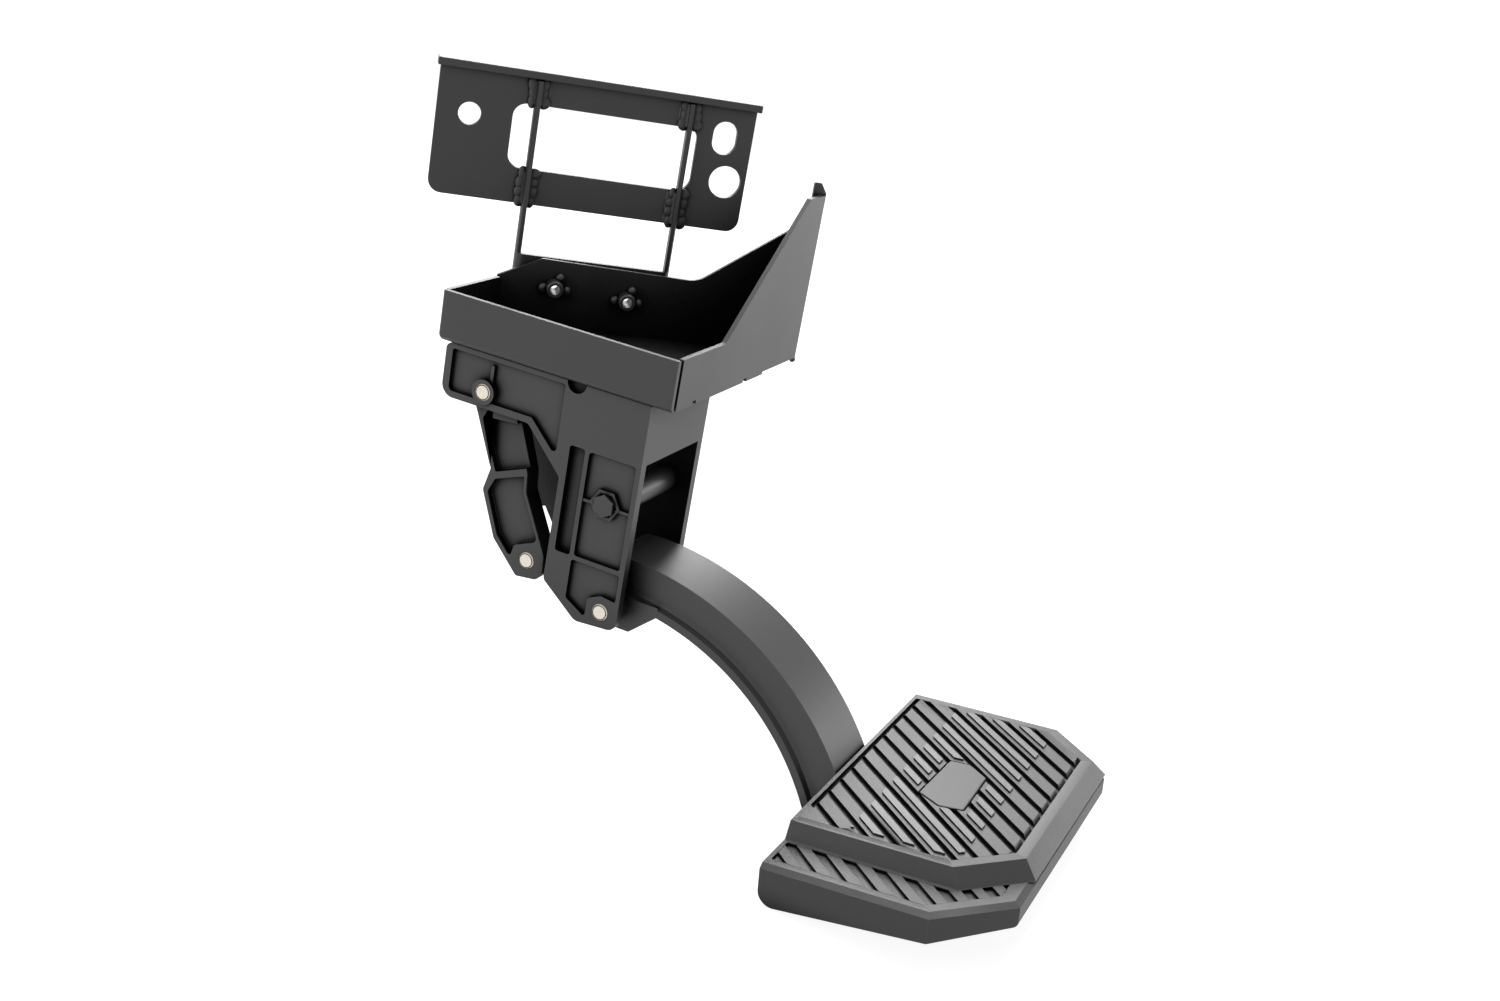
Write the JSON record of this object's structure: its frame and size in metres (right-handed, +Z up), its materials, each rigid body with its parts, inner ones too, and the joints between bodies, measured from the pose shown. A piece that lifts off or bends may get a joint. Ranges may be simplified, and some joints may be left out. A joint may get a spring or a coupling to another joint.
{
  "type": "retractable bed step",
  "caption": "Black retractable truck bed step: bent bracket with slotted plate and tray, cast hinge housing with swinging link, curved arm and two-tier ribbed step pad",
  "frame": {"origin": "middle of the mounting plate's rear face, below its window", "axes": "+Z up, +X outboard to the pad, +Y away from the ribbed side of the housing, along the hinge pins"},
  "size_m": [0.6393, 0.3537, 0.499],
  "materials": {
    "sheet_black": "satin black powder coat on steel sheet",
    "cast_black": "fine textured black coat on cast aluminium",
    "tread_grey": "charcoal, finely grained",
    "fastener_black": "blackened steel",
    "bright_pin": "bright turned end, slightly warm",
    "bush": "plain dark",
    "spring_wire": "oiled spring wire"
  },
  "bodies": {
    "bracket": {"tray_pan": "sheet_black", "back_wall": "sheet_black", "side_gusset": "sheet_black", "weld_nut_left": "fastener_black", "weld_nut_right": "fastener_black", "riser_frame": "sheet_black", "mounting_plate": "sheet_black", "linkage_housing": "cast_black", "housing_bolts": "fastener_black", "housing_nuts": "fastener_black", "stop_bolt": "fastener_black", "stop_sleeve": "fastener_black", "stop_washer": "fastener_black", "stop_nut": "fastener_black", "link_pivot_pin": "bright_pin", "arm_pivot_pin": "bright_pin"},
    "link": {"swing_link": "cast_black", "link_bush": "bush", "catch_pin": "bright_pin"},
    "arm": {"step_arm": "cast_black", "arm_bush_near": "bush", "arm_bush_far": "bush", "arm_spring": "spring_wire", "pad_base": "cast_black", "tread_upper": "tread_grey", "tread_lower": "tread_grey", "badge_plate": "tread_grey", "pad_screws": "fastener_black"}
  },
  "joints": [
    {"name": "arm_hinge", "type": "hinge", "parent": "bracket", "child": "arm", "pos_m": [0.13811, -0.07874, -0.2932], "axis": [0, 1, 0], "range_deg": [0, 160]},
    {"name": "link_hinge", "type": "hinge", "parent": "bracket", "child": "link", "pos_m": [0.00721, -0.11364, -0.1455], "axis": [0, 1, 0], "range_deg": [-12, 0]}
  ],
  "couplings": [
    {"joint": "link_hinge", "follows": "arm_hinge", "ratio": -0.075}
  ]
}
